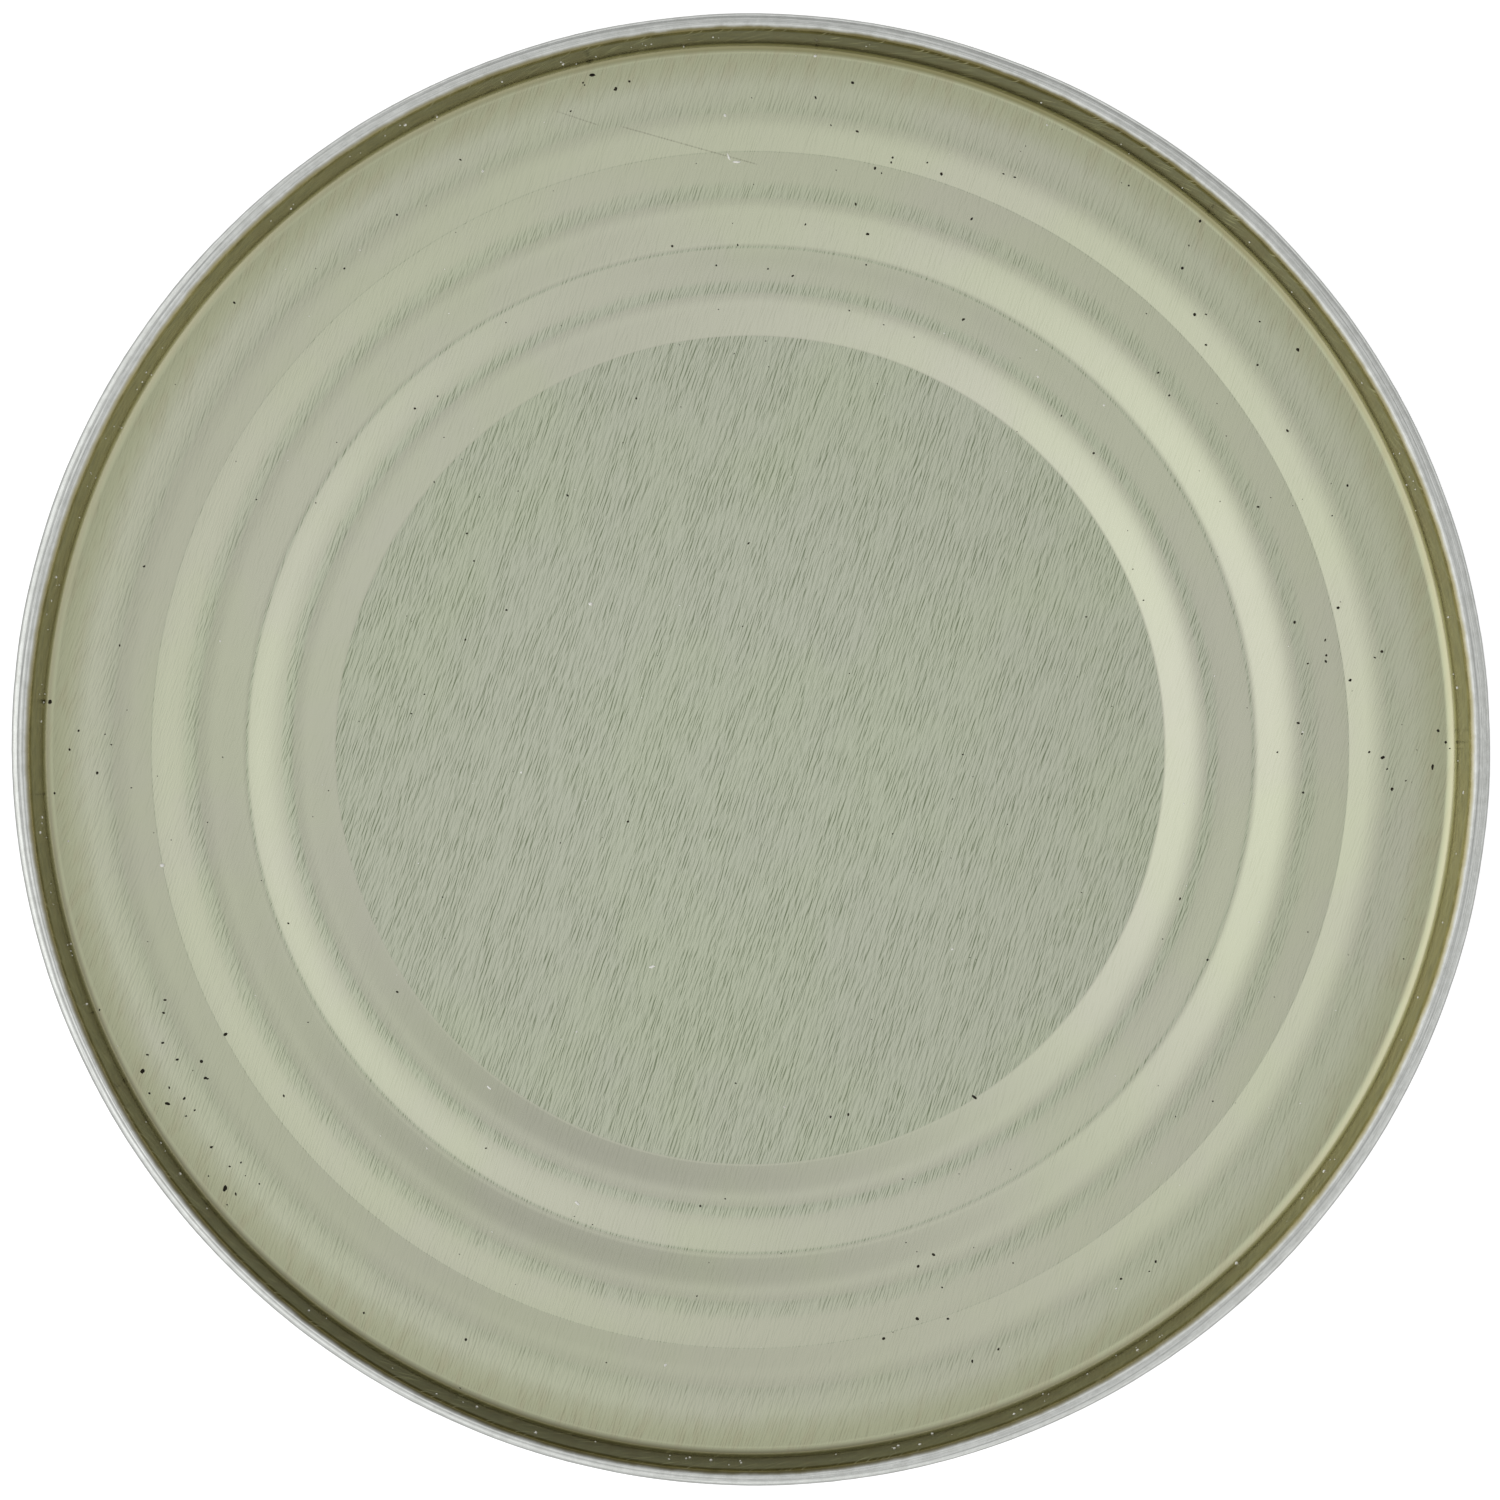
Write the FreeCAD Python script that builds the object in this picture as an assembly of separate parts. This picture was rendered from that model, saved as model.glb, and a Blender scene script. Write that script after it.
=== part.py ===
import FreeCAD, Part
import math
import os

# Shut food can: a beaded, welded body with a stamped end seamed on at the top and the bottom.
# All sizes are in millimetres. The origin is the centre of the foot and +Z points up the axis.

# Whole can
can_height = 110.0
seam_diameter = 76.2
sheet = 0.2

# Double seam
seam_thickness = 0.95
seam_height = 3.0
seam_inner_radius = 0.48
seam_outer_radius = 0.38
seam_bottom_radius = 0.35
seam_tuck = 0.15
wall_lean_deg = 9.0

# Stamped end, measured down from the top of the seam
end_depth = 3.0
wall_foot_radius = 0.6

# Corners of the stamped panel from the centre disc outwards:
# distance in from the foot of the wall, height over the outer flat, corner radius.
disc_edge = (15.035, -0.952, 0.6)
inner_crest_in = (13.275, -0.480, 4.5)
inner_crest_out = (12.125, -0.480, 8.4)
valley = (10.375, -0.704, 1.3)
middle_crest_in = (8.425, -0.164, 4.9)
middle_crest_out = (7.305, -0.164, 11.2)
crease = (5.505, -0.302, 0.3)
outer_crest = (3.805, 0.066, 6.7)
flat_edge = (1.925, 0.0, 15.0)
panel_corners = (
    disc_edge,
    inner_crest_in,
    inner_crest_out,
    valley,
    middle_crest_in,
    middle_crest_out,
    crease,
    outer_crest,
    flat_edge,
)

# Can body
body_sheet = 0.15
side_beads = 18
side_bead_pitch = 3.5
side_bead_depth = 0.45
side_bead_radius = 2.4

# Welded side seam
weld_width = 0.8
weld_rise = 0.08
weld_direction_deg = 200.0
weld_root = 1.2
weld_clearance = 0.05

# Reference point and axis of every turned shape
axis_foot = FreeCAD.Vector(0, 0, 0)
up = FreeCAD.Vector(0, 0, 1)

# Sizes that follow from those above
seam_outer = seam_diameter / 2
seam_inner = seam_outer - seam_thickness
lean_angle = math.radians(wall_lean_deg)
wall_lean = math.tan(lean_angle)
wall_foot = seam_inner - wall_lean * end_depth
tuck_height = seam_height - seam_tuck
end_sheet_across = sheet / math.cos(lean_angle)
body_radius = seam_inner - wall_lean * tuck_height + end_sheet_across + body_sheet
weld_end = max(tuck_height, end_depth + sheet) + weld_clearance


def vector(point):
    """A point of the (radius, height) section, placed in the XZ plane."""
    return FreeCAD.Vector(point[0], 0, point[1])


def unit(start, end):
    length = math.hypot(end[0] - start[0], end[1] - start[1])
    return (end[0] - start[0]) / length, (end[1] - start[1]) / length


def turn_between(before, after):
    """Signed angle between two directions, positive to the left."""
    cross = before[0] * after[1] - before[1] * after[0]
    dot = before[0] * after[0] + before[1] * after[1]
    return math.atan2(cross, dot)


def corner_arc(previous, corner, following):
    """Start, middle and end of the arc that rounds one corner of a path."""
    before = unit(previous, corner)
    after = unit(corner, following)
    turn = turn_between(before, after)
    radius = corner[2]
    tangent = radius * math.tan(abs(turn) / 2)
    start = (corner[0] - before[0] * tangent, corner[1] - before[1] * tangent)
    end = (corner[0] + after[0] * tangent, corner[1] + after[1] * tangent)
    inward = (after[0] - before[0], after[1] - before[1])
    reach = radius / math.cos(turn / 2) - radius
    size = math.hypot(inward[0], inward[1])
    middle = (corner[0] + inward[0] / size * reach, corner[1] + inward[1] / size * reach)
    return start, middle, end


def rounded_edges(path):
    """Lines and arcs along a path of (radius, height, corner radius) points."""
    edges = []
    place = path[0]
    for i in range(1, len(path)):
        following = path[i]
        arc = None
        if i + 1 < len(path) and path[i][2] > 0:
            arc = corner_arc(path[i - 1], path[i], path[i + 1])
            following = arc[0]
        edges.append(Part.makeLine(vector(place), vector(following)))
        place = following
        if arc:
            edges.append(Part.Arc(vector(arc[0]), vector(arc[1]), vector(arc[2])).toShape())
            place = arc[2]
    return edges


def line_crossing(first, second):
    """Where two lines meet, each given by two of its points."""
    (ax, az), (bx, bz) = first
    (cx, cz), (dx, dz) = second
    across = (bx - ax) * (dz - cz) - (bz - az) * (dx - cx)
    share = ((cx - ax) * (dz - cz) - (cz - az) * (dx - cx)) / across
    return ax + (bx - ax) * share, az + (bz - az) * share


def shifted_path(path, distance):
    """The parallel path at a distance to the left, with its corner radii kept concentric."""
    lines = []
    for a, b in zip(path, path[1:]):
        along = unit(a, b)
        left = (-along[1] * distance, along[0] * distance)
        lines.append(((a[0] + left[0], a[1] + left[1]), (b[0] + left[0], b[1] + left[1])))
    shifted = [(lines[0][0][0], lines[0][0][1], 0)]
    for i in range(1, len(lines)):
        place = line_crossing(lines[i - 1], lines[i])
        turn = turn_between(unit(path[i - 1], path[i]), unit(path[i], path[i + 1]))
        radius = path[i][2] - distance * math.copysign(1, turn)
        shifted.append((place[0], place[1], radius))
    shifted.append((lines[-1][1][0], lines[-1][1][1], 0))
    return shifted


def revolved(edges, angle):
    face = Part.Face(Part.Wire(edges))
    return face.revolve(axis_foot, up, angle)


def closed(edges):
    """The edges of an open path with the straight edge that closes it."""
    start = edges[0].firstVertex().Point
    end = edges[-1].lastVertex().Point
    return edges + [Part.makeLine(end, start)]


def panel_path():
    """The panel's upper face from the axis to the foot of the wall, with the seam's top at 0."""
    path = [(0, disc_edge[1] - end_depth, 0)]
    for inset, height, radius in panel_corners:
        path.append((wall_foot - inset, height - end_depth, radius))
    path.append((wall_foot, -end_depth, wall_foot_radius))
    return path


def end_face_path():
    """The end's whole upper face: panel, wall, rounded seam and the seam's outer side."""
    path = panel_path()
    path.append((seam_inner, 0, seam_inner_radius))
    path.append((seam_outer, 0, seam_outer_radius))
    path.append((seam_outer, -seam_height, seam_bottom_radius))
    path.append((body_radius, -tuck_height, 0))
    return path


def end_underside_path():
    """The sheet's other face, from the axis up to the level where the seam meets the body."""
    upper = panel_path() + [(seam_inner, 0, 0)]
    under = shifted_path(upper, -sheet)
    foot, top = under[-2], under[-1]
    share = (-tuck_height - foot[1]) / (top[1] - foot[1])
    meeting = (foot[0] + (top[0] - foot[0]) * share, -tuck_height, 0)
    return under[:-1] + [meeting]


def raised(path, height):
    return [(radius, z + height, corner) for radius, z, corner in path]


def overturned(path):
    """The path turned over for the bottom end and taken from its last point to its first."""
    return [(radius, -z, corner) for radius, z, corner in reversed(path)]


def make_top_end():
    face = rounded_edges(raised(end_face_path(), can_height))
    underside = list(reversed(raised(end_underside_path(), can_height)))
    outer_rim = face[-1].lastVertex().Point
    tuck = Part.makeLine(outer_rim, vector(underside[0]))
    return revolved(closed(face + [tuck] + rounded_edges(underside)), 360)


def make_bottom_end(top_end):
    bottom_end = top_end.copy()
    bottom_end.rotate(FreeCAD.Vector(0, 0, can_height / 2), FreeCAD.Vector(1, 0, 0), 180)
    return bottom_end


def side_bead_path():
    """Rounded waves between the two plain bands of the body, from the top down."""
    path = []
    first = can_height / 2 + side_beads * side_bead_pitch / 2
    for bead in range(side_beads):
        crest = first - bead * side_bead_pitch
        path.append((body_radius, crest, side_bead_radius))
        trough = crest - side_bead_pitch / 2
        path.append((body_radius - side_bead_depth, trough, side_bead_radius))
    path.append((body_radius, first - side_beads * side_bead_pitch, side_bead_radius))
    return path


def side_path(end_distance):
    """The body's side between two levels at a distance from the can's top and foot."""
    top = (body_radius, can_height - end_distance, 0)
    bottom = (body_radius, end_distance, 0)
    return [top] + side_bead_path() + [bottom]


def make_weld():
    """The narrow overlap where the body sheet is welded, following the side beads."""
    outside = shifted_path(side_path(weld_end), weld_rise)
    root_radius = body_radius - weld_root
    root = [(root_radius, outside[-1][1], 0), (root_radius, outside[0][1], 0)]
    edges = rounded_edges(outside)
    edges.append(Part.makeLine(vector(outside[-1]), vector(root[0])))
    edges.append(Part.makeLine(vector(root[0]), vector(root[1])))
    angle = math.degrees(weld_width / body_radius)
    weld = revolved(closed(edges), angle)
    weld.rotate(axis_foot, up, weld_direction_deg - angle / 2)
    return weld


def make_can_body():
    """The shut pack: solid between the undersides of the two ends."""
    top = raised(end_underside_path(), can_height)
    bottom = overturned(end_underside_path())
    top_edges = rounded_edges(top)
    rim = Part.makeLine(vector(top[-1]), FreeCAD.Vector(body_radius, 0, can_height - tuck_height))
    side = rounded_edges(side_path(tuck_height))
    foot_rim = Part.makeLine(FreeCAD.Vector(body_radius, 0, tuck_height), vector(bottom[0]))
    section = top_edges + [rim] + side + [foot_rim] + rounded_edges(bottom)
    return revolved(closed(section), 360).fuse(make_weld())


def export_node(name, shape):
    shape.exportStep("parts/" + name + ".step")


os.makedirs("parts", exist_ok=True)
top_end = make_top_end()
export_node("top_end", top_end)
export_node("bottom_end", make_bottom_end(top_end))
export_node("can_body", make_can_body())
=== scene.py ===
import math

import bmesh
import bpy
import numpy as np
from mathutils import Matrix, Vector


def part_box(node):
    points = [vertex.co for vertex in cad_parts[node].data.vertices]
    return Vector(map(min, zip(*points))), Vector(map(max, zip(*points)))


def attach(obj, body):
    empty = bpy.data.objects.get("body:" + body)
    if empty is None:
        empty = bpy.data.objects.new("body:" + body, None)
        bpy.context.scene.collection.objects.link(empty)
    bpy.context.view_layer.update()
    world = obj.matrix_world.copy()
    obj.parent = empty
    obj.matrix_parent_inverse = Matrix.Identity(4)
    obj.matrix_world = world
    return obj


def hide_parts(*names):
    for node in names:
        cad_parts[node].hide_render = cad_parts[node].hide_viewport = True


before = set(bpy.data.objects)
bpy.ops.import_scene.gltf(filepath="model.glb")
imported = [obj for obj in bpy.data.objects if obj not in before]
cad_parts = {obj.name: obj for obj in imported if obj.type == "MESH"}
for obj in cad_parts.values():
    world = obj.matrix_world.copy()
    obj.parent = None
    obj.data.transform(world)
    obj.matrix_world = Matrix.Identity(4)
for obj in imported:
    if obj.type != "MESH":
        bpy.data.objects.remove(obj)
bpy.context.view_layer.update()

# Sizes are in mm, and MM takes them to Blender's metres. Angles are in radians.
MM = 0.001
TURN = 2 * math.pi
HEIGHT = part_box("top_end")[1].z / MM
SEAM_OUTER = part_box("top_end")[1].x / MM
BODY_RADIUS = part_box("can_body")[1].x / MM

# ---------------------------------------------------------------- the can's section
SHEET = 0.2              # thickness of an end's sheet
END_DEPTH = 3.0          # from the seam's top down to the panel's outer flat
SEAM_LENGTH = 3.0        # from the seam's top down to the end of its hook
SEAM_FOOT = -2.85        # where the hook's end meets the body, from the seam's top
SEAM_THICKNESS = 0.95
WALL_TOP = SEAM_OUTER - 0.87
WALL_FOOT = SEAM_OUTER - SEAM_THICKNESS - math.tan(math.radians(9.0)) * END_DEPTH
WALL_SLOPE = (WALL_TOP - WALL_FOOT) / END_DEPTH
WALL_RADIUS = 36.9       # of the chuck wall, on average
RIM_FROM = 36.0          # from here outwards the ends wear their rim material
SEAM_CROWN = 37.8        # the crumbs lie inside this radius

# The stamped panel from the disc outwards, with the same corners as the CAD model's:
# radius, height over the panel's outer flat, corner radius.
PANEL = [
    (21.64, -0.952, 0.6),
    (23.40, -0.480, 4.5),
    (24.55, -0.480, 8.4),
    (26.30, -0.704, 1.3),
    (28.25, -0.164, 4.9),
    (29.37, -0.164, 11.2),
    (31.17, -0.302, 0.3),
    (32.87, 0.066, 6.7),
    (34.75, 0.0, 15.0),
]
PANEL_FOOT_CORNER = 0.60
SEAM_INNER_CORNER = 0.48
SEAM_OUTER_CORNER = 0.38
HOOK_CORNER = 0.35

BEAD_COUNT = 18
BEAD_PITCH = 3.5
BEAD_DEPTH = 0.45
BEAD_CORNER = 2.4

# ---------------------------------------------------------------- directions and marks
GRAIN = math.radians(71.5)            # the rolling grain of the ends' sheet
WELD_DIRECTION = math.radians(200.0)  # the side of the can with the weld
# The chuck wall's painted shade is least along the next line and most across it.
UNSHADED_WALL_LINE = math.radians(-20.0)     # the chuck wall is brightest along this line
# Start, end and strength of the scratches on the top end.
TOP_SCRATCHES = [
    ((-10.0, 33.2), (-7.9, 32.5), 0.45),
    ((-6.6, 32.4), (0.3, 30.5), 0.60),
    ((3.9, 34.1), (2.6, 30.6), 0.18),
]


def panel_path():
    """The stamped panel as (radius, height, corner), from the axis to the foot of the wall."""
    path = [(0.0, PANEL[0][1] - END_DEPTH, 0.0)]
    path += [(radius, up - END_DEPTH, corner) for radius, up, corner in PANEL]
    path.append((WALL_FOOT, -END_DEPTH, PANEL_FOOT_CORNER))
    return path


def end_path():
    """The upper face of an end, from the axis over the seam to where the seam meets the body."""
    return panel_path() + [
        (WALL_TOP, 0.0, SEAM_INNER_CORNER),
        (SEAM_OUTER, 0.0, SEAM_OUTER_CORNER),
        (SEAM_OUTER, -SEAM_LENGTH, HOOK_CORNER),
        (BODY_RADIUS + 0.02, SEAM_FOOT, 0.0),
    ]


def under_path():
    """The hidden face of an end, from the seam's foot back to the axis, coarse."""
    sharp = 2.0
    path = [
        (WALL_TOP + WALL_SLOPE * SEAM_FOOT + SHEET, SEAM_FOOT),
        (WALL_FOOT + 0.12, -END_DEPTH - 0.05),
        (WALL_FOOT - 0.4, -END_DEPTH - SHEET),
    ]
    corners = [row for row in reversed(PANEL) if row[2] < sharp]
    path += [(radius, up - END_DEPTH - SHEET) for radius, up, _ in corners]
    path.append((0.0, PANEL[0][1] - END_DEPTH - SHEET))
    return path


def body_path():
    """The side wall as (radius, height, corner), from the top down through its beads."""
    first = HEIGHT / 2 + BEAD_COUNT * BEAD_PITCH / 2
    path = [(BODY_RADIUS, HEIGHT + SEAM_FOOT, 0.0)]
    for k in range(BEAD_COUNT):
        path.append((BODY_RADIUS, first - k * BEAD_PITCH, BEAD_CORNER))
        path.append((BODY_RADIUS - BEAD_DEPTH, first - (k + 0.5) * BEAD_PITCH, BEAD_CORNER))
    path.append((BODY_RADIUS, first - BEAD_COUNT * BEAD_PITCH, BEAD_CORNER))
    path.append((BODY_RADIUS, -SEAM_FOOT, 0.0))
    return path


def sampled(path, arc_degrees, longest):
    """Points along a path whose corners are rounded, with no step longer than longest(radius)."""
    def line(points, end):
        start = points[-1]
        length = math.dist(start, end)
        count = max(1, math.ceil(length / longest((start[0] + end[0]) / 2)))
        for k in range(1, count + 1):
            s = k / count
            points.append((start[0] + (end[0] - start[0]) * s, start[1] + (end[1] - start[1]) * s))

    points = [path[0][:2]]
    for before, (x, y, corner), after in zip(path, path[1:], path[2:]):
        heading = math.atan2(y - before[1], x - before[0])
        leaving = math.atan2(after[1] - y, after[0] - x)
        turn = (leaving - heading + math.pi) % TURN - math.pi
        reach = corner * math.tan(abs(turn) / 2)
        line(points, (x - math.cos(heading) * reach, y - math.sin(heading) * reach))
        if corner <= 0:
            continue
        arc = math.copysign(corner, turn)
        middle_x = points[-1][0] - math.sin(heading) * arc
        middle_y = points[-1][1] + math.cos(heading) * arc
        steps = max(2, math.ceil(abs(math.degrees(turn)) / arc_degrees))
        for k in range(1, steps + 1):
            t = heading + turn * k / steps
            points.append((middle_x + math.sin(t) * arc, middle_y - math.cos(t) * arc))
    line(points, path[-1][:2])
    return points


# ---------------------------------------------------------------- meshes
class Waves:
    """A smooth random field over angle and length, the same each run."""

    def __init__(self, seed, count, around, along):
        rng = np.random.default_rng(seed)
        self.around = rng.integers(1, around, count)
        self.along = rng.uniform(-1.0, 1.0, count) * along
        self.phase = rng.uniform(0, TURN, count)
        self.size = rng.uniform(0.4, 1.0, count) / math.sqrt(count)

    def __call__(self, angle, length):
        around = self.around[:, None, None] * angle
        along = self.along[:, None, None] * length
        waves = np.sin(around + along + self.phase[:, None, None])
        return (self.size[:, None, None] * waves).sum(0)


def linked_mesh(name, verts, faces):
    """A smooth-shaded mesh in the scene. verts are in metres."""
    mesh = bpy.data.meshes.new(name)
    mesh.from_pydata(verts, [], faces)
    mesh.polygons.foreach_set("use_smooth", [True] * len(mesh.polygons))
    mesh.update()
    piece = bpy.data.objects.new(name, mesh)
    bpy.context.collection.objects.link(piece)
    return piece


def turned(name, points, angles, shape):
    """A closed turned mesh from points that run from the axis back to the axis.

    shape(radius, height, angle) returns the moved radius and height.
    """
    radius = np.array([p[0] for p in points[1:-1]])[:, None]
    z = np.array([p[1] for p in points[1:-1]])[:, None]
    angle = np.array(angles)[None, :]
    r, h = shape(radius + 0 * angle, z + 0 * angle, angle + 0 * radius)
    verts = np.stack([r * np.cos(angle), r * np.sin(angle), h], -1).reshape(-1, 3) * MM
    rings, count = r.shape
    ends = np.array([[points[0][1]], [points[-1][1]]])
    on_axis = shape(0 * ends, ends, 0 * ends)[1]
    verts = np.concatenate([verts, [[0, 0, up * MM] for up in on_axis[:, 0]]])
    first, last = len(verts) - 2, len(verts) - 1
    faces = []
    for j in range(count):
        k = (j + 1) % count
        faces.append((first, j, k))
        for i in range(rings - 1):
            inner, outer = i * count, (i + 1) * count
            faces.append((inner + j, outer + j, outer + k, inner + k))
        faces.append((last, (rings - 1) * count + k, (rings - 1) * count + j))
    return linked_mesh(name, verts.tolist(), faces)


def ramp(value, start, width):
    """0 up to start, 1 from start + width on. It falls instead where width is negative."""
    return np.clip((value - start) / width, 0, 1)


def out_of_round(angle, side):
    """How far the seam's outer side stands out of the circle. It is thickest to the right."""
    wave = 0.050 + 0.075 * np.cos(angle) + 0.051 * side * np.sin(angle)
    wave += 0.080 * np.cos(2 * angle) - 0.049 * side * np.sin(2 * angle)
    return wave - 0.034 * np.cos(3 * angle) + 0.026 * side * np.sin(3 * angle)


def end_shape(seed, base, side):
    """Slight unevenness of a stamped and rolled end. side is 1 for the top end, -1 for the bottom."""
    panel = Waves(seed, count=14, around=7, along=0.35)
    rim = Waves(seed + 1, count=20, around=40, along=2.0)
    fine = Waves(seed + 2, count=60, around=260, along=9.0)
    rim_from, outer_side_from = 36.7, 37.45
    groove_radius, groove_width, groove_depth = 37.70, 0.055, 0.020

    def shape(r, z, angle):
        on_rim = ramp(r, rim_from, 0.3)
        inner = ramp(r, 0.0, 12.0) * (1 - on_rim)
        z = z + 0.010 * panel(angle, r) * inner
        crown = ramp(z, -0.6, 0.5) * on_rim
        z = z - groove_depth * np.exp(-(((r - groove_radius) / groove_width) ** 2)) * crown
        z = z - crown * (0.010 + 0.008 * rim(angle, r) + 0.004 * fine(angle, r))
        worn = 0.015 + 0.012 * rim(angle + 1.0, z) + 0.005 * fine(angle, z)
        r = r - on_rim * np.clip(worn, 0, 1)
        r = r + ramp(r, outer_side_from, 0.3) * out_of_round(angle, side)
        return r, base + side * z

    return shape


def end_step(radius):
    """The longest step along an end's section: finest on the seam, coarse on the panel."""
    if 36.9 < radius < SEAM_OUTER - 0.05:
        return 0.04
    if radius > 36.3:
        return 0.2
    return 0.9


def make_end(name, node, seed, base, side, round_count):
    """One end. base is the height of its seam's free edge, and side is 1 for the top end."""
    points = sampled(end_path(), 5.0, end_step) + under_path()
    angles = np.linspace(0, TURN, round_count, endpoint=False)
    if side < 0:
        points = points[::-1]
    piece = turned(name, points, angles, end_shape(seed, base, side))
    for face in piece.data.polygons:
        face.material_index = int(math.hypot(face.center.x, face.center.y) > RIM_FROM * MM)
    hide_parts(node)
    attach(piece, "root")
    return piece


def from_weld(angle):
    """How far a direction is from the weld's, from 0 to pi."""
    return np.abs((angle - WELD_DIRECTION + math.pi) % TURN - math.pi)


def make_body():
    """The beaded side wall with its raised weld line. Its ends are hidden under the can's ends."""
    hidden_radius, hidden_depth = 36.4, 4.4
    weld_half_width, weld_edge, weld_height = 0.46, 0.10, 0.07
    side = sampled(body_path(), 6.0, lambda radius: 1.2)
    points = [(0.0, hidden_depth), (hidden_radius, hidden_depth)] + side[::-1]
    points += [(hidden_radius, HEIGHT - hidden_depth), (0.0, HEIGHT - hidden_depth)]
    # The steps round the wall are even, and finer over the weld.
    around = np.linspace(0, TURN, 320, endpoint=False)
    weld = WELD_DIRECTION + np.radians(np.linspace(-1.6, 1.6, 33))
    clear = from_weld(around) > math.radians(2.0)
    angles = np.sort(np.concatenate([around[clear], weld]))
    sway = Waves(41, count=16, around=6, along=0.05)
    sway_height = 0.02

    def shape(r, z, angle):
        off = from_weld(angle) * BODY_RADIUS
        from_end = np.minimum(z, HEIGHT - z)
        free = ramp(from_end, 3.2, 4.0)
        strip = ramp(off, weld_half_width, -weld_edge) * free
        outer = ramp(r, 36.35, 0.02)
        swayed = sway_height * (sway(angle, z) - 1)
        return r + outer * (weld_height * strip + free * swayed), z

    piece = turned("body_wall", points, angles, shape)
    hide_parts("can_body")
    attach(piece, "root")
    return piece


# ---------------------------------------------------------------- dirt and dust on the top end
# x, y, length and width of the crumbs that stand out.
DARK_CRUMBS = [
    (5.5, 28.4, 0.17, 0.11), (8.7, -29.6, 0.21, 0.15), (10.3, -29.6, 0.15, 0.12),
    (21.1, -26.6, 0.17, 0.12), (19.3, -27.5, 0.15, 0.12), (-12.7, 7.3, 0.13, 0.10),
    (30.6, 7.4, 0.19, 0.15), (32.9, -0.4, 0.23, 0.18), (35.5, -0.9, 0.32, 0.13),
    (-8.2, 35.1, 0.31, 0.18), (11.7, -18.1, 0.34, 0.13), (-36.4, 2.5, 0.24, 0.19),
    (-31.6, -16.7, 0.27, 0.22), (-30.3, -18.4, 0.29, 0.16), (-27.3, -22.8, 0.35, 0.20),
    (-27.3, -14.8, 0.25, 0.16),
]
PALE_CRUMBS = [
    (-8.3, 7.6, 0.24, 0.17), (-5.1, -11.3, 0.36, 0.13), (-9.0, -23.6, 0.30, 0.14),
    (-13.6, -17.6, 0.30, 0.10), (-4.4, -32.0, 0.19, 0.14), (7.5, -36.2, 0.20, 0.14),
    (3.4, 36.1, 0.19, 0.14), (-9.7, 35.6, 0.19, 0.16), (-11.9, 35.2, 0.21, 0.16),
    (-1.3, 33.0, 0.20, 0.14), (-13.9, 30.1, 0.16, 0.12), (-30.6, -6.0, 0.30, 0.19),
    (-1.1, 30.85, 0.42, 0.10), (-0.7, 30.6, 0.46, 0.11),
]
# x, y, spread and number of the groups of smaller dark ones.
DARK_GROUPS = [
    (-30.2, -16.5, 1.7, 16), (-27.0, -22.3, 0.8, 6), (-33.8, -1.0, 1.6, 6),
    (-9.5, 34.6, 1.5, 7), (30.0, 4.8, 1.5, 9), (33.8, -1.4, 1.8, 8),
    (7.0, 30.0, 3.5, 16), (9.0, -29.0, 2.5, 6), (24.0, 22.0, 3.5, 14),
]


def scattered(seed, count, inner, outer, smallest, largest):
    """Random crumbs, denser towards the outside, as (x, y, length, width)."""
    rng = np.random.default_rng(seed)
    radius = inner + (outer - inner) * rng.uniform(0, 1, count) ** 0.6
    angle = rng.uniform(0, TURN, count)
    length = smallest + (largest - smallest) * rng.uniform(0, 1, count) ** 2.5
    width = length * rng.uniform(0.5, 1.0, count)
    return np.stack([radius * np.cos(angle), radius * np.sin(angle), length, width], 1).tolist()


def grouped(seed, groups, smallest, largest):
    """Random crumbs round the middle of each group, as (x, y, length, width)."""
    rng = np.random.default_rng(seed)
    crumbs = []
    for x, y, spread, count in groups:
        for _ in range(count):
            length = rng.uniform(smallest, largest)
            at_x = x + rng.normal(0, spread)
            at_y = y + rng.normal(0, spread)
            crumbs.append((at_x, at_y, length, length * rng.uniform(0.5, 0.9)))
    return [crumb for crumb in crumbs if math.hypot(*crumb[:2]) < RIM_FROM + 0.4]


def make_crumbs(name, crumbs, seed):
    """Small irregular grains that sit a little sunk into the top end's surface."""
    profile = [p for p in sampled(end_path(), 5.0, lambda radius: 0.2) if p[0] < SEAM_CROWN]
    radii, heights = zip(*profile)
    rng = np.random.default_rng(seed)
    ball = bmesh.new()
    bmesh.ops.create_icosphere(ball, subdivisions=2, radius=1.0)
    shape = np.array([v.co for v in ball.verts])
    corners = np.array([[v.index for v in f.verts] for f in ball.faces])
    ball.free()
    thickness, lift = 0.32, 0.08
    verts, faces = [], []
    for x, y, length, width in crumbs:
        turn = rng.uniform(0, math.pi)
        c, s = math.cos(turn), math.sin(turn)
        lumps = rng.uniform(0.78, 1.15, (len(shape), 1))
        grain = shape * lumps * (length / 2, width / 2, width * thickness)
        z = HEIGHT + np.interp(math.hypot(x, y), radii, heights) + width * lift
        faces.append(corners + len(verts) * len(shape))
        across = grain[:, 0] * c - grain[:, 1] * s
        along = grain[:, 0] * s + grain[:, 1] * c
        verts.append(np.stack([across + x, along + y, grain[:, 2] + z], 1) * MM)
    piece = linked_mesh(name, np.concatenate(verts).tolist(), np.concatenate(faces).tolist())
    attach(piece, "root")
    return piece


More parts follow.
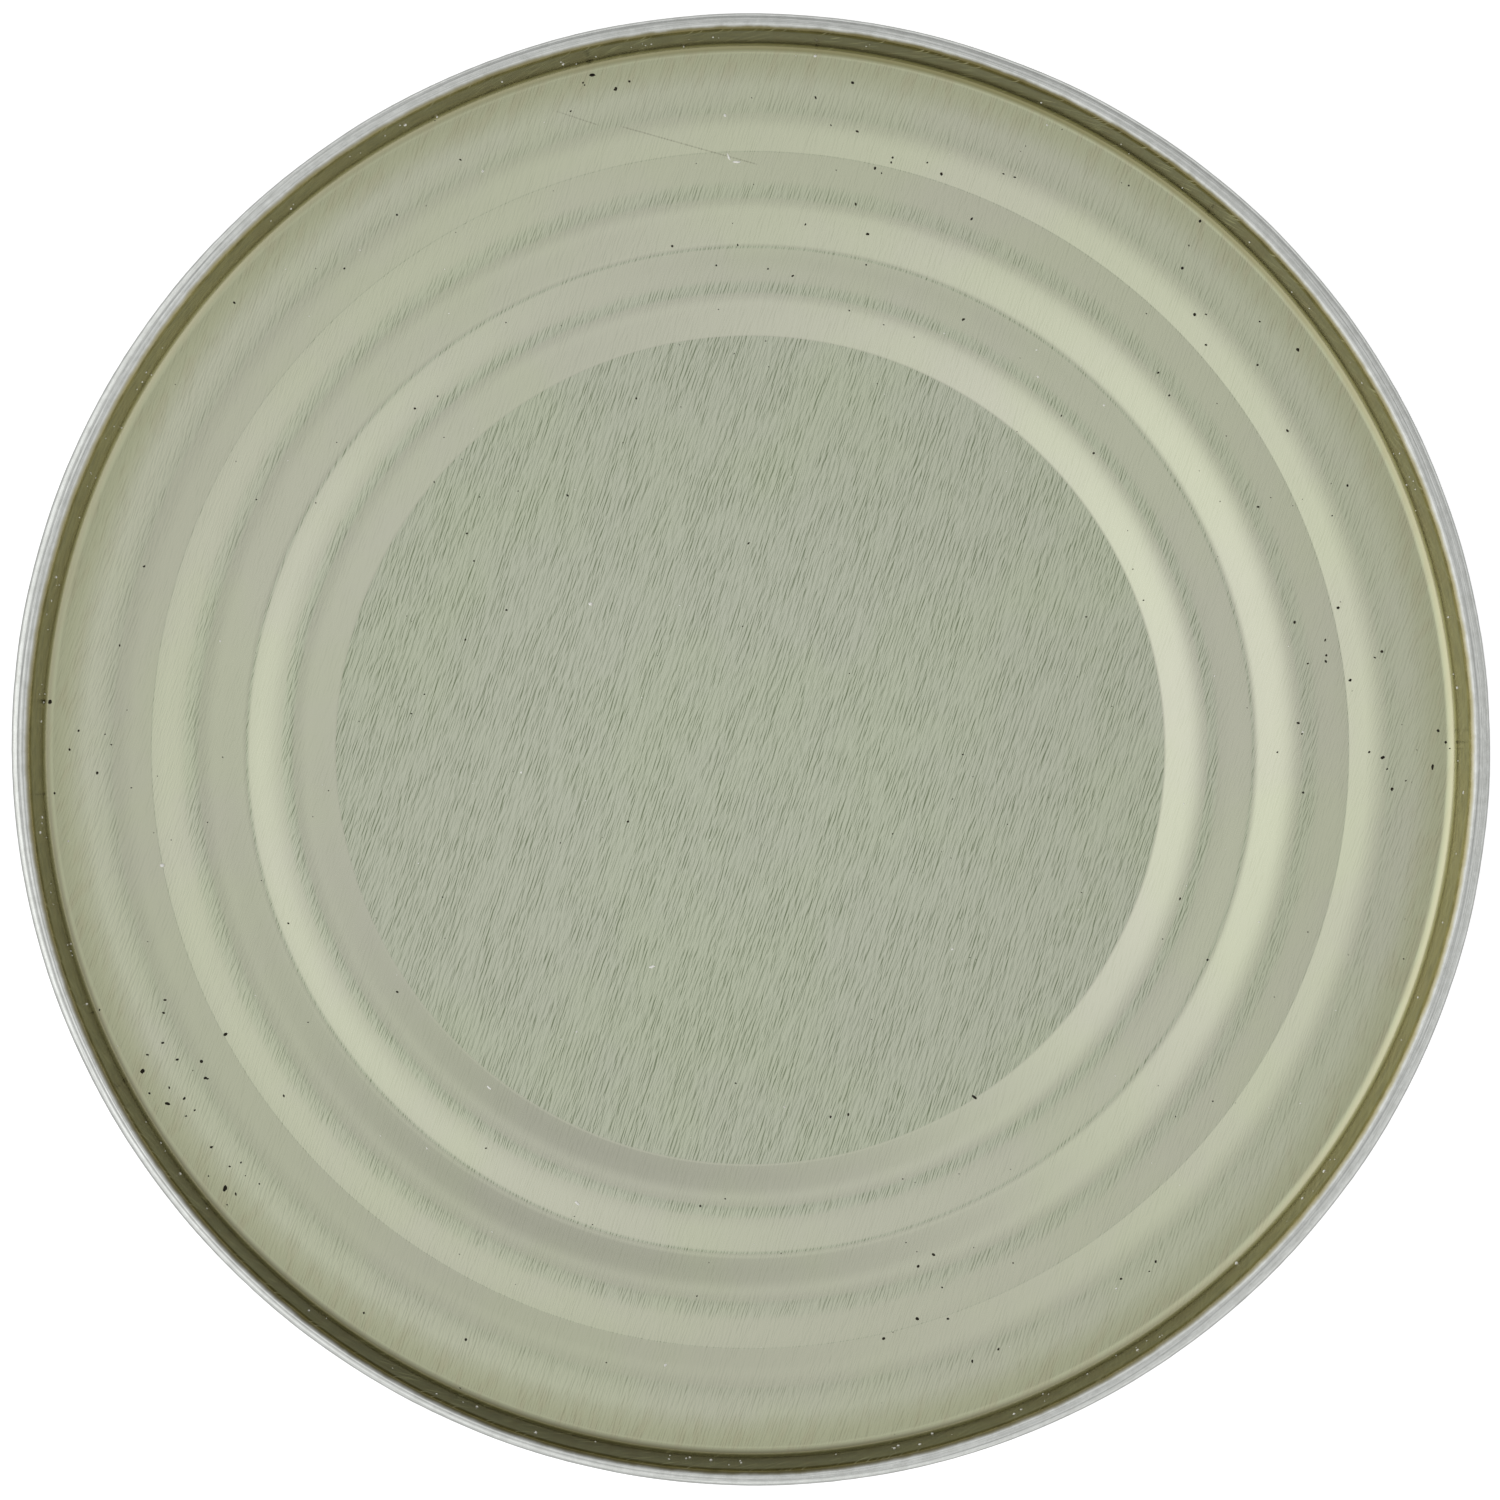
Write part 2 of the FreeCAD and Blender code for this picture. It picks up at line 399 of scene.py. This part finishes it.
# ---------------------------------------------------------------- nodes
class Tree:
    """Short names for the nodes that the materials use."""

    def __init__(self, tree):
        self.tree = tree

    def node(self, kind, **settings):
        made = self.tree.nodes.new(kind)
        for key, value in settings.items():
            setattr(made, key, value)
        return made

    def put(self, socket, value):
        """Links an output to the socket, or sets the socket's own value."""
        if hasattr(value, "links"):
            self.tree.links.new(value, socket)
        else:
            socket.default_value = value

    def math(self, operation, *values):
        made = self.node("ShaderNodeMath", operation=operation)
        for socket, value in zip(made.inputs, values):
            self.put(socket, value)
        return made.outputs[0]

    def plus(self, a, b):
        return self.math("ADD", a, b)

    def minus(self, a, b):
        return self.math("SUBTRACT", a, b)

    def times(self, first, *others):
        for other in others:
            first = self.math("MULTIPLY", first, other)
        return first

    def times_plus(self, value, factor, added):
        return self.math("MULTIPLY_ADD", value, factor, added)

    def clamped(self, value, low, high):
        return self.math("MINIMUM", self.math("MAXIMUM", value, low), high)

    def step(self, value, low, high):
        """0 below low, 1 above high, smooth between. Also falls where low is over high."""
        made = self.node("ShaderNodeMapRange", interpolation_type="SMOOTHSTEP")
        falls = low > high
        self.put(made.inputs["Value"], value)
        self.put(made.inputs["From Min"], min(low, high))
        self.put(made.inputs["From Max"], max(low, high))
        self.put(made.inputs["To Min"], 1.0 if falls else 0.0)
        self.put(made.inputs["To Max"], 0.0 if falls else 1.0)
        return made.outputs[0]

    def between(self, value, low, high, soft):
        """1 from low to high, with both edges soft."""
        rise = self.step(value, low - soft, low + soft)
        return self.times(rise, self.step(value, high + soft, high - soft))

    def scale(self, value, low, high):
        """A value from 0 to 1 taken to low to high."""
        return self.times_plus(value, high - low, low)

    def mix(self, share, a, b, blend="MIX"):
        """The colour a with a share of b. A colour is a tuple of three or an output."""
        made = self.node("ShaderNodeMix", data_type="RGBA", blend_type=blend)
        self.put(made.inputs["Factor"], share)
        for key, value in (("A", a), ("B", b)):
            socket = next(s for s in made.inputs if s.name == key and s.type == "RGBA")
            self.put(socket, (*value, 1.0) if isinstance(value, tuple) else value)
        return next(s for s in made.outputs if s.type == "RGBA")

    def vector(self, x, y, z):
        made = self.node("ShaderNodeCombineXYZ")
        for socket, value in zip(made.inputs, (x, y, z)):
            self.put(socket, value)
        return made.outputs[0]

    def noise(self, vector, scale=1.0, detail=2.0, rough=0.5):
        made = self.node("ShaderNodeTexNoise")
        self.put(made.inputs["Vector"], vector)
        self.put(made.inputs["Scale"], scale)
        self.put(made.inputs["Detail"], detail)
        self.put(made.inputs["Roughness"], rough)
        return made.outputs[0]

    def bump(self, height, distance):
        """A normal from a height; distance in metres is the depth of a height of 1."""
        made = self.node("ShaderNodeBump")
        self.put(made.inputs["Height"], height)
        self.put(made.inputs["Distance"], distance)
        self.put(made.inputs["Strength"], 1.0)
        return made.outputs[0]


def new_material(name):
    material = bpy.data.materials.new(name)
    material.use_nodes = True
    return material, Tree(material.node_tree), material.node_tree.nodes["Principled BSDF"]


def coordinates(t):
    """x, y, z in mm, and the distance from the axis."""
    scaled = t.node("ShaderNodeVectorMath", operation="SCALE")
    t.put(scaled.inputs[0], t.node("ShaderNodeTexCoord").outputs["Object"])
    scaled.inputs["Scale"].default_value = 1 / MM
    apart = t.node("ShaderNodeSeparateXYZ")
    t.put(apart.inputs[0], scaled.outputs[0])
    x, y, z = apart.outputs
    radius = t.math("SQRT", t.plus(t.times(x, x), t.times(y, y)))
    return x, y, z, radius


def turned_axes(t, x, y, angle):
    """x and y measured along and across a direction."""
    c, s = math.cos(angle), math.sin(angle)
    along = t.plus(t.times(x, c), t.times(y, s))
    across = t.plus(t.times(x, -s), t.times(y, c))
    return along, across


# ---------------------------------------------------------------- materials of the ends
# Linear colours. The lacquer makes the bright tin olive, and it yellows where the sheet is bent.
PANEL_GREEN = (0.644, 0.690, 0.528)
PANEL_WARM = (0.648, 0.680, 0.547)
PANEL_DULL = (0.53, 0.54, 0.42)
PANEL_EDGE_SHADE = (0.530, 0.548, 0.370)
PANEL_STAIN = (0.50, 0.43, 0.29)
OFF_CENTRE_TINT = (0.965, 0.965, 0.952)
SLOPE_TINT = (0.990, 0.955, 0.972)
OUTWARD_TINT = (0.960, 0.965, 0.930)
# Dark grain, used also as painted shade and painted reflection on the panel.
GRAIN_AND_PAINTED_SHADE = (0.07, 0.12, 0.02)
SCRATCH_DARK = (0.22, 0.22, 0.15)
# The wall's olive is the lacquer's tint, and its darkness is painted shade of the recess.
WALL_OLIVE = (0.322, 0.280, 0.119)
WALL_OLIVE_PALE = (0.374, 0.329, 0.151)
WALL_DRAWN = (0.13, 0.115, 0.045)
WALL_BEND = (0.60, 0.575, 0.39)
WALL_EDGE = (0.44, 0.41, 0.27)
WALL_SCRATCH = (0.55, 0.52, 0.36)
SEAM_BRIGHT = (0.760, 0.776, 0.745)
SEAM_GREY = (0.665, 0.678, 0.645)
SEAM_ROLLED = (0.42, 0.435, 0.42)
SEAM_LINE = (0.28, 0.29, 0.28)
SEAM_SHOULDER_SHADE = (0.20, 0.205, 0.195)


def streaks(t, along, across, z, length, width, seed):
    """Noise drawn out along the grain, in streaks of about this length and width."""
    place = t.vector(t.times_plus(along, 1 / length, seed), t.times(across, 1 / width),
                     t.times_plus(z, 0.6, seed))
    return t.noise(place, 1.0, 1.0, 0.55)


def scatter_direction(t, x, y, r, wall, side):
    """Across the rolling grain, which runs up the wall where the sheet is drawn upwards."""
    across_x, across_y = -math.sin(GRAIN), math.cos(GRAIN)
    away_x = t.math("DIVIDE", x, t.math("MAXIMUM", r, 0.1))
    away_y = t.math("DIVIDE", y, t.math("MAXIMUM", r, 0.1))
    outward = t.plus(t.times(away_x, across_x), t.times(away_y, across_y))
    around = t.minus(t.times(away_x, across_y), t.times(away_y, across_x))
    on_wall = t.vector(t.times(away_y, around, -1.0), t.times(away_x, around),
                       t.times(outward, float(side)))
    made = t.node("ShaderNodeMix", data_type="VECTOR")
    t.put(made.inputs["Factor"], wall)
    flat, upright = [s for s in made.inputs if s.type == "VECTOR" and s.name in "AB"]
    flat.default_value = (across_x, across_y, 0.0)
    t.put(upright, on_wall)
    return next(s for s in made.outputs if s.type == "VECTOR")


def scratch(t, x, y, start, end):
    """1 on a fine straight scratch from start to end."""
    length = math.dist(start, end)
    c, s = (end[0] - start[0]) / length, (end[1] - start[1]) / length
    start_along, start_off = start[0] * c + start[1] * s, start[1] * c - start[0] * s
    along = t.plus(t.times(x, c), t.times_plus(y, s, -start_along))
    off = t.plus(t.times(x, -s), t.times_plus(y, c, -start_off))
    return t.times(t.between(along, 0.0, length, 0.25), t.step(t.math("ABSOLUTE", off), 0.055, 0.015))


def lacquered_sheet(t, x, y, z, r, seed):
    """The panel's colour, its grain from dark to pale, the grain's relief, and slow patches. The grain's
    dark side is partly painted shade and painted reflection.
    """
    along, across = turned_axes(t, x, y, GRAIN)
    normal = t.node("ShaderNodeSeparateXYZ")
    t.put(normal.inputs[0], t.node("ShaderNodeNewGeometry").outputs["Normal"])
    # The grain's dark colour is painted strongest where the sheet is level, as painted reflection of the
    # dim sky overhead, and it fades from the disc to the wall.
    level = t.step(t.math("ABSOLUTE", normal.outputs[2]), 0.9981, 0.9998)
    level = t.times(level, t.scale(t.step(r, 34.2, 32.5), 0.22, 1.0))
    level = t.times(level, t.scale(t.step(r, 29.5, 21.5), 0.65, 1.0))

    # The difference of two shifted streak fields is a relief lit from one side. Its shaded side is
    # painted shade in the colour, and the same field is the bump's height.
    length, width, shift = 0.95, 0.095, 0.045
    here = streaks(t, along, across, z, length, width, seed)
    beside = streaks(t, along, t.plus(across, shift), z, length, width, seed)
    broad = streaks(t, along, across, z, 2.2, 0.7, seed + 5.7)
    grain = t.plus(0.5, t.minus(here, beside))
    pale = t.step(grain, 0.20, 0.60)
    cloud = t.noise(t.vector(x, y, z), 0.11, 3.0, 0.55)

    colour = t.mix(t.step(cloud, 0.38, 0.62), PANEL_GREEN, PANEL_WARM)
    colour = t.mix(t.scale(t.step(cloud, 0.3, 0.7), 0.0, 0.07), colour, PANEL_DULL)
    colour = t.mix(t.step(r, 6.0, 20.0), colour, OFF_CENTRE_TINT, "MULTIPLY")
    colour = t.mix(t.minus(1.0, level), colour, SLOPE_TINT, "MULTIPLY")
    colour = t.mix(t.step(r, 20.0, 34.5), colour, OUTWARD_TINT, "MULTIPLY")
    # Painted shade: darker and yellower towards the wall, standing in for the wall's shade and
    # reflection.
    colour = t.mix(t.step(r, 34.3, 35.95), colour, PANEL_EDGE_SHADE)
    stain = t.times(t.step(r, 33.8, 36.2), t.step(broad, 0.46, 0.66))
    colour = t.mix(t.times(stain, 0.22), colour, PANEL_STAIN)
    # Painted shade and painted reflection: the grain's dark colour, strongest on the relief's shaded side
    # and where the sheet is level.
    darker = t.times(t.minus(0.98, pale), t.scale(t.step(broad, 0.34, 0.62), 0.30, 0.68))
    depth = t.times(darker, t.scale(level, 0.16, 1.0))
    return t.mix(depth, colour, GRAIN_AND_PAINTED_SHADE), pale, grain, cloud


def sheet_roughness(t, pale, cloud):
    """The pale grain is a little rougher, and so are the slow patches."""
    return t.plus(t.scale(pale, 0.15, 0.23), t.times(cloud, 0.04))


def finish_sheet(t, shader, colour, rough, tangent, height):
    """Brushed metal whose highlights spread along the tangent."""
    relief = 0.0045 * MM
    t.put(shader.inputs["Base Color"], colour)
    t.put(shader.inputs["Roughness"], rough)
    t.put(shader.inputs["Tangent"], tangent)
    t.put(shader.inputs["Normal"], t.bump(height, relief))
    shader.inputs["Metallic"].default_value = 1.0
    shader.inputs["Anisotropic"].default_value = 0.7


def panel_material(name, seed, scratches=()):
    """Lacquered tinplate with its rolling grain, for the stamped panel."""
    material, t, shader = new_material(name)
    x, y, z, r = coordinates(t)
    colour, pale, grain, cloud = lacquered_sheet(t, x, y, z, r, seed)
    broken = t.scale(pale, 1.0, 0.35)
    for start, end, strength in scratches:
        marked = t.times(scratch(t, x, y, start, end), broken, strength)
        colour = t.mix(marked, colour, SCRATCH_DARK)
    across = t.vector(-math.sin(GRAIN), math.cos(GRAIN), 0.0)
    finish_sheet(t, shader, colour, sheet_roughness(t, pale, cloud), across, t.times(grain, 0.6))
    return material


def wall_and_bend(t, x, y, z, r, drop, streaked, cloud, seed):
    """The chuck wall's colour over the panel's, where the wall is, and two measures round it."""
    around = t.times(t.math("ARCTAN2", y, x), WALL_RADIUS)
    _, off_line = turned_axes(t, x, y, UNSHADED_WALL_LINE)
    crosswise = t.math("DIVIDE", t.times(off_line, off_line), t.math("MAXIMUM", t.times(r, r), 1.0))

    # The wall's base colour: lacquer tint, darkened as painted shade.
    wall_colour = t.mix(t.step(cloud, 0.35, 0.65), WALL_OLIVE, WALL_OLIVE_PALE)
    drawing = t.noise(t.vector(t.times(around, 0.9), t.times(z, 3.4), seed), 1.0, 3.0, 0.6)
    wall_colour = t.mix(t.scale(t.step(drawing, 0.40, 0.66), 0.0, 0.45), wall_colour, WALL_DRAWN)
    bend_top = 0.05 - END_DEPTH
    bent = t.times(t.step(r, WALL_FOOT - 0.42, WALL_FOOT - 0.02), t.step(drop, bend_top - 0.15, bend_top))
    wall = t.times(t.step(drop, bend_top, bend_top + 0.5), t.step(r, WALL_FOOT - 0.2, WALL_FOOT))
    colour = t.mix(t.times(bent, 0.85), streaked, WALL_BEND)
    colour = t.mix(wall, colour, wall_colour)
    return colour, wall, around, crosswise


def rim_material(name, seam_level, side, seed):
    """The same sheet where it is bent: a yellowed wall with painted shade, and a bare rubbed seam with a
    painted dark shoulder.

    drop is the height over the seam's free edge, so it is negative all along the wall.
    """
    material, t, shader = new_material(name)
    x, y, z, r = coordinates(t)
    drop = t.times(t.minus(z, seam_level), float(side))
    streaked, pale, grain, cloud = lacquered_sheet(t, x, y, z, r, seed)
    colour, wall, around, crosswise = wall_and_bend(t, x, y, z, r, drop, streaked, cloud, seed)

    # Painted shade on the wall and its fillet: darker the further round from the unshaded line, and
    # starting a little further out on the lower side.
    lower_side = t.scale(t.step(y, -20.0, 20.0), -0.12, 0.04)
    painted_wall_shade = t.times(t.step(t.plus(r, lower_side), 36.25, 36.52), crosswise)
    drawn = t.vector(t.scale(painted_wall_shade, 1.0, 0.39), t.scale(painted_wall_shade, 1.0, 0.375),
                     t.scale(painted_wall_shade, 1.0, 0.28))
    on_top = t.step(drop, -1.2, -0.6)
    ragged = t.noise(t.vector(t.times(x, 0.9), t.times(y, 0.9), z), 1.0, 3.0, 0.6)
    edge = t.plus(r, t.times(t.minus(ragged, 0.5), 0.16))
    colour = t.mix(t.times(t.step(edge, WALL_TOP - 0.01, WALL_TOP + 0.13), on_top), colour, WALL_EDGE)
    # drawn is the painted shade's colour, multiplied over the wall and its fillet.
    colour = t.mix(1.0, colour, drawn, "MULTIPLY")

    # Fine scratches that run slanting round the wall.
    slanted = t.times_plus(around, 0.9, z)
    scuffs = t.noise(t.vector(t.times(around, 0.7), t.times(slanted, 7.0), seed), 1.0, 0.0)
    scratched = t.times(t.step(scuffs, 0.66, 0.76), wall, t.step(r, WALL_TOP + 0.07, WALL_TOP - 0.03))
    colour = t.mix(t.times(scratched, t.scale(crosswise, 0.15, 0.65)), colour, WALL_SCRATCH)

    # The seam: bare metal on its top, its outer side and its tuck under the hook.
    tucked = t.times(t.step(r, 36.85, 36.95), t.step(drop, -2.3, -2.5))
    outside = t.math("MAXIMUM", t.step(r, SEAM_OUTER - 0.5, SEAM_OUTER - 0.4), tucked)
    inside = t.times(t.step(edge, WALL_TOP + 0.10, WALL_TOP + 0.29), on_top)
    seam = t.math("MAXIMUM", inside, outside)
    rubbed = t.noise(t.vector(t.times(x, 1.6), t.times(y, 1.6), t.times(z, 1.6)), 1.0, 4.0, 0.6)
    rolling = t.vector(t.times(r, 14.0), t.times(z, 14.0), t.times(ragged, 3.0))
    rolled = t.noise(rolling, 1.0, 2.0, 0.5)
    bare = t.mix(t.step(rubbed, 0.35, 0.70), SEAM_BRIGHT, SEAM_GREY)
    bare = t.mix(t.scale(t.step(rolled, 0.35, 0.65), 0.0, 0.36), bare, SEAM_ROLLED)
    wander = t.times(t.minus(t.noise(t.vector(x, y, 0.0), 0.045, 2.0), 0.5), 0.7)
    line = t.between(t.plus(r, wander), SEAM_OUTER - 0.36, SEAM_OUTER - 0.30, 0.035)
    rounded = t.times(t.step(r, SEAM_OUTER - 0.45, SEAM_OUTER - 0.35), t.step(drop, -0.9, -0.5))
    # Painted shade: a dark band on the seam's outer shoulder, just below its top.
    shoulder_shade = t.times(t.step(drop, -0.08, -0.20), rounded)
    bare = t.mix(t.times(line, on_top, 0.35), bare, SEAM_LINE)
    bare = t.mix(t.times(shoulder_shade, t.scale(rubbed, 0.55, 0.85)), bare, SEAM_SHOULDER_SHADE)
    colour = t.mix(seam, colour, bare)

    rough = t.plus(sheet_roughness(t, pale, cloud), t.times(seam, t.scale(rubbed, -0.06, 0.04)))
    lacquered = t.step(r, WALL_TOP + 0.27, WALL_TOP + 0.17)
    height = t.plus(t.times(grain, lacquered, 0.6), t.times(rubbed, t.minus(1.0, lacquered), 1.2))
    finish_sheet(t, shader, colour, rough, scatter_direction(t, x, y, r, wall, side), height)
    return material


# ---------------------------------------------------------------- materials of the crumbs and the body
DIRT = (0.010, 0.009, 0.006)
DIRT_BROWN = (0.030, 0.024, 0.013)
DUST = (0.90, 0.90, 0.86)
DUST_YELLOWED = (0.74, 0.73, 0.66)
BODY_TIN = (0.640, 0.655, 0.632)
BODY_TIN_DARK = (0.600, 0.614, 0.590)
BODY_LINE = (0.40, 0.41, 0.39)
BODY_RUBBED = (0.76, 0.77, 0.75)
# Painted shade for the bead grooves and painted highlight for their crests.
BODY_GROOVE_SHADE = (0.36, 0.37, 0.35)
BODY_CREST_HIGHLIGHT = (0.80, 0.81, 0.79)
WELD_HEAT = (0.39, 0.385, 0.40)
WELD_SPOTS = (0.24, 0.23, 0.24)


def crumb_material(name, first, second, specular):
    """Mottled dry grains, from the first colour to the second."""
    material, t, shader = new_material(name)
    x, y, z, _ = coordinates(t)
    mottle = t.noise(t.vector(x, y, z), 9.0, 2.0)
    t.put(shader.inputs["Base Color"], t.mix(t.step(mottle, 0.35, 0.65), first, second))
    t.put(shader.inputs["Roughness"], t.scale(mottle, 0.55, 0.95))
    shader.inputs["Specular IOR Level"].default_value = specular
    t.put(shader.inputs["Normal"], t.bump(mottle, 0.01 * MM))
    return material


def body_material():
    """Bare tinplate with fine rolling lines round the can and heat colour beside the weld."""
    material, t, shader = new_material("body_tinplate")
    x, y, z, r = coordinates(t)
    towards, aside = turned_axes(t, x, y, WELD_DIRECTION)
    off = t.math("ABSOLUTE", aside)
    facing = t.step(towards, 20.0, 22.0)
    around = t.times(t.math("ARCTAN2", y, x), 36.8)
    lines = t.noise(t.vector(t.times(around, 0.25), t.times(z, 7.0), 0.0), 1.0, 3.0, 0.6)
    cloud = t.noise(t.vector(x, y, z), 0.09, 4.0, 0.55)
    handling = t.noise(t.vector(x, y, t.times(z, 0.35)), 0.5, 4.0, 0.65)
    colour = t.mix(t.step(cloud, 0.3, 0.7), BODY_TIN, BODY_TIN_DARK)
    colour = t.mix(t.scale(t.step(lines, 0.35, 0.7), 0.0, 0.24), colour, BODY_LINE)
    colour = t.mix(t.scale(t.step(handling, 0.5, 0.75), 0.0, 0.07), colour, BODY_RUBBED)

    # Painted shade darkens the grooves between the beads, varying with the handling marks, and a painted
    # highlight brightens their crests.
    crest_highlight = t.step(r, BODY_RADIUS - 0.12, BODY_RADIUS - 0.03)
    groove_shade = t.step(r, BODY_RADIUS - 0.16, BODY_RADIUS - 0.40)
    colour = t.mix(t.times(groove_shade, t.scale(handling, 0.45, 0.75)), colour, BODY_GROOVE_SHADE)
    beaded = t.between(z, HEIGHT / 2 - 32.0, HEIGHT / 2 + 32.0, 1.0)
    colour = t.mix(t.times(crest_highlight, beaded, 0.30), colour, BODY_CREST_HIGHLIGHT)

    drift = t.times(t.minus(t.noise(t.vector(0.0, 0.0, z), 0.5, 3.0), 0.5), 0.5)
    heat = t.times(t.between(t.plus(off, drift), -1.0, 2.2, 0.9), facing)
    colour = t.mix(t.times(heat, 0.55), colour, WELD_HEAT)
    ridge = t.times(t.between(off, -1.0, 0.42, 0.06), facing)
    spots = t.noise(t.vector(0.0, 0.0, z), 1.6, 1.0)
    colour = t.mix(t.times(ridge, t.scale(spots, 0.25, 0.75)), colour, WELD_SPOTS)

    rough = t.plus(t.scale(lines, 0.13, 0.24), t.times(t.math("MAXIMUM", heat, ridge), 0.10))
    height = t.plus(lines, t.times(ridge, spots, 4.0))
    t.put(shader.inputs["Base Color"], colour)
    t.put(shader.inputs["Roughness"], t.plus(rough, t.times(handling, 0.05)))
    t.put(shader.inputs["Normal"], t.bump(height, 0.004 * MM))
    shader.inputs["Metallic"].default_value = 1.0
    return material


# ---------------------------------------------------------------- floor, light and camera
def make_floor():
    """A white floor that keeps the can's shadow. The metal mirrors a dimmer one."""
    half, seen_strength, mirrored_strength = 3.0, 0.55, 0.36
    corners = [(-half, -half, 0), (half, -half, 0), (half, half, 0), (-half, half, 0)]
    mesh = bpy.data.meshes.new("floor")
    mesh.from_pydata(corners, [], [(0, 1, 2, 3)])
    floor = bpy.data.objects.new("floor", mesh)
    bpy.context.collection.objects.link(floor)
    material, t, shader = new_material("floor_white")
    shader.inputs["Base Color"].default_value = (0.80, 0.80, 0.80, 1.0)
    shader.inputs["Roughness"].default_value = 0.9
    shader.inputs["Specular IOR Level"].default_value = 0.0
    shader.inputs["Emission Color"].default_value = (1, 1, 1, 1)
    path = t.node("ShaderNodeLightPath")
    mirrored = t.math("MAXIMUM", path.outputs["Is Glossy Ray"], path.outputs["Is Transmission Ray"])
    seen = t.times(path.outputs["Is Camera Ray"], seen_strength)
    strength = t.math("MAXIMUM", seen, t.times(mirrored, mirrored_strength))
    t.put(shader.inputs["Emission Strength"], strength)
    material.cycles.emission_sampling = "NONE"
    mesh.materials.append(material)


def make_world():
    """A soft studio: a broad light to the left, a dimmer patch straight overhead, a white horizon."""
    world = bpy.data.worlds.new("studio")
    bpy.context.scene.world = world
    world.use_nodes = True
    t = Tree(world.node_tree)
    background = world.node_tree.nodes["Background"]
    apart = t.node("ShaderNodeSeparateXYZ")
    t.put(apart.inputs[0], t.node("ShaderNodeTexCoord").outputs["Generated"])
    x, y, z = apart.outputs
    xx, yy = t.times(x, x), t.times(y, y)
    away = t.math("SQRT", t.plus(xx, yy))
    overhead, around, darkest, brightest = 0.57, 0.81, 0.45, 1.35
    to_the_sides, to_the_right, to_the_back = 0.8, -0.40, -0.40
    sky = t.scale(t.step(away, 0.05, 0.30), overhead, around)
    sky = t.times_plus(t.clamped(t.minus(xx, yy), -0.15, 0.15), to_the_sides, sky)
    sky = t.times_plus(x, to_the_right, sky)
    sky = t.times_plus(t.times(y, away), to_the_back, sky)
    sky = t.clamped(sky, darkest, brightest)
    horizon = t.step(z, 0.22, 0.06)
    sky = t.plus(t.times(sky, t.minus(1.0, horizon)), horizon)
    background.inputs["Color"].default_value = (1.0, 1.0, 1.0, 1.0)
    camera_ray = t.node("ShaderNodeLightPath").outputs["Is Camera Ray"]
    t.put(background.inputs["Strength"], t.math("MAXIMUM", sky, camera_ray))


def make_camera():
    """Straight above the can, as in the photograph."""
    distance = 420.0  # from the seam's top
    shown = 77.46     # width of the frame there
    sensor = 36.0
    data = bpy.data.cameras.new("camera")
    data.sensor_width = sensor
    data.lens = sensor * distance / shown
    data.clip_start, data.clip_end = 0.01, 20.0
    camera = bpy.data.objects.new("camera", data)
    bpy.context.collection.objects.link(camera)
    camera.location = (0.0, 0.0, (HEIGHT + distance) * MM)
    bpy.context.scene.camera = camera


# ---------------------------------------------------------------- the scene
TOP_SEED, BOTTOM_SEED = 2.0, 17.0
top = make_end("top_lid", "top_end", 11, HEIGHT, 1, round_count=448)
top.data.materials.append(panel_material("top_lacquered_tinplate", TOP_SEED, TOP_SCRATCHES))
top.data.materials.append(rim_material("top_wall_and_seam", HEIGHT, 1, TOP_SEED))
bottom = make_end("bottom_lid", "bottom_end", 23, 0.0, -1, round_count=300)
bottom.data.materials.append(panel_material("bottom_lacquered_tinplate", BOTTOM_SEED))
bottom.data.materials.append(rim_material("bottom_wall_and_seam", 0.0, -1, BOTTOM_SEED))
body = make_body()
body.data.materials.append(body_material())

dark_dust = grouped(4, DARK_GROUPS, 0.09, 0.20) + scattered(5, 190, 6.0, 36.6, 0.06, 0.17)
dark = make_crumbs("dirt_specks", DARK_CRUMBS + dark_dust, 6)
dark.data.materials.append(crumb_material("dry_dirt", DIRT, DIRT_BROWN, 0.15))
pale_dust = scattered(7, 70, 4.0, 36.4, 0.05, 0.14) + scattered(8, 210, 36.66, 37.2, 0.08, 0.22)
pale = make_crumbs("dust_flecks", PALE_CRUMBS + pale_dust, 9)
pale.data.materials.append(crumb_material("pale_dust", DUST, DUST_YELLOWED, 0.5))
make_floor()
make_world()
make_camera()
bpy.context.scene.view_settings.view_transform = "Standard"
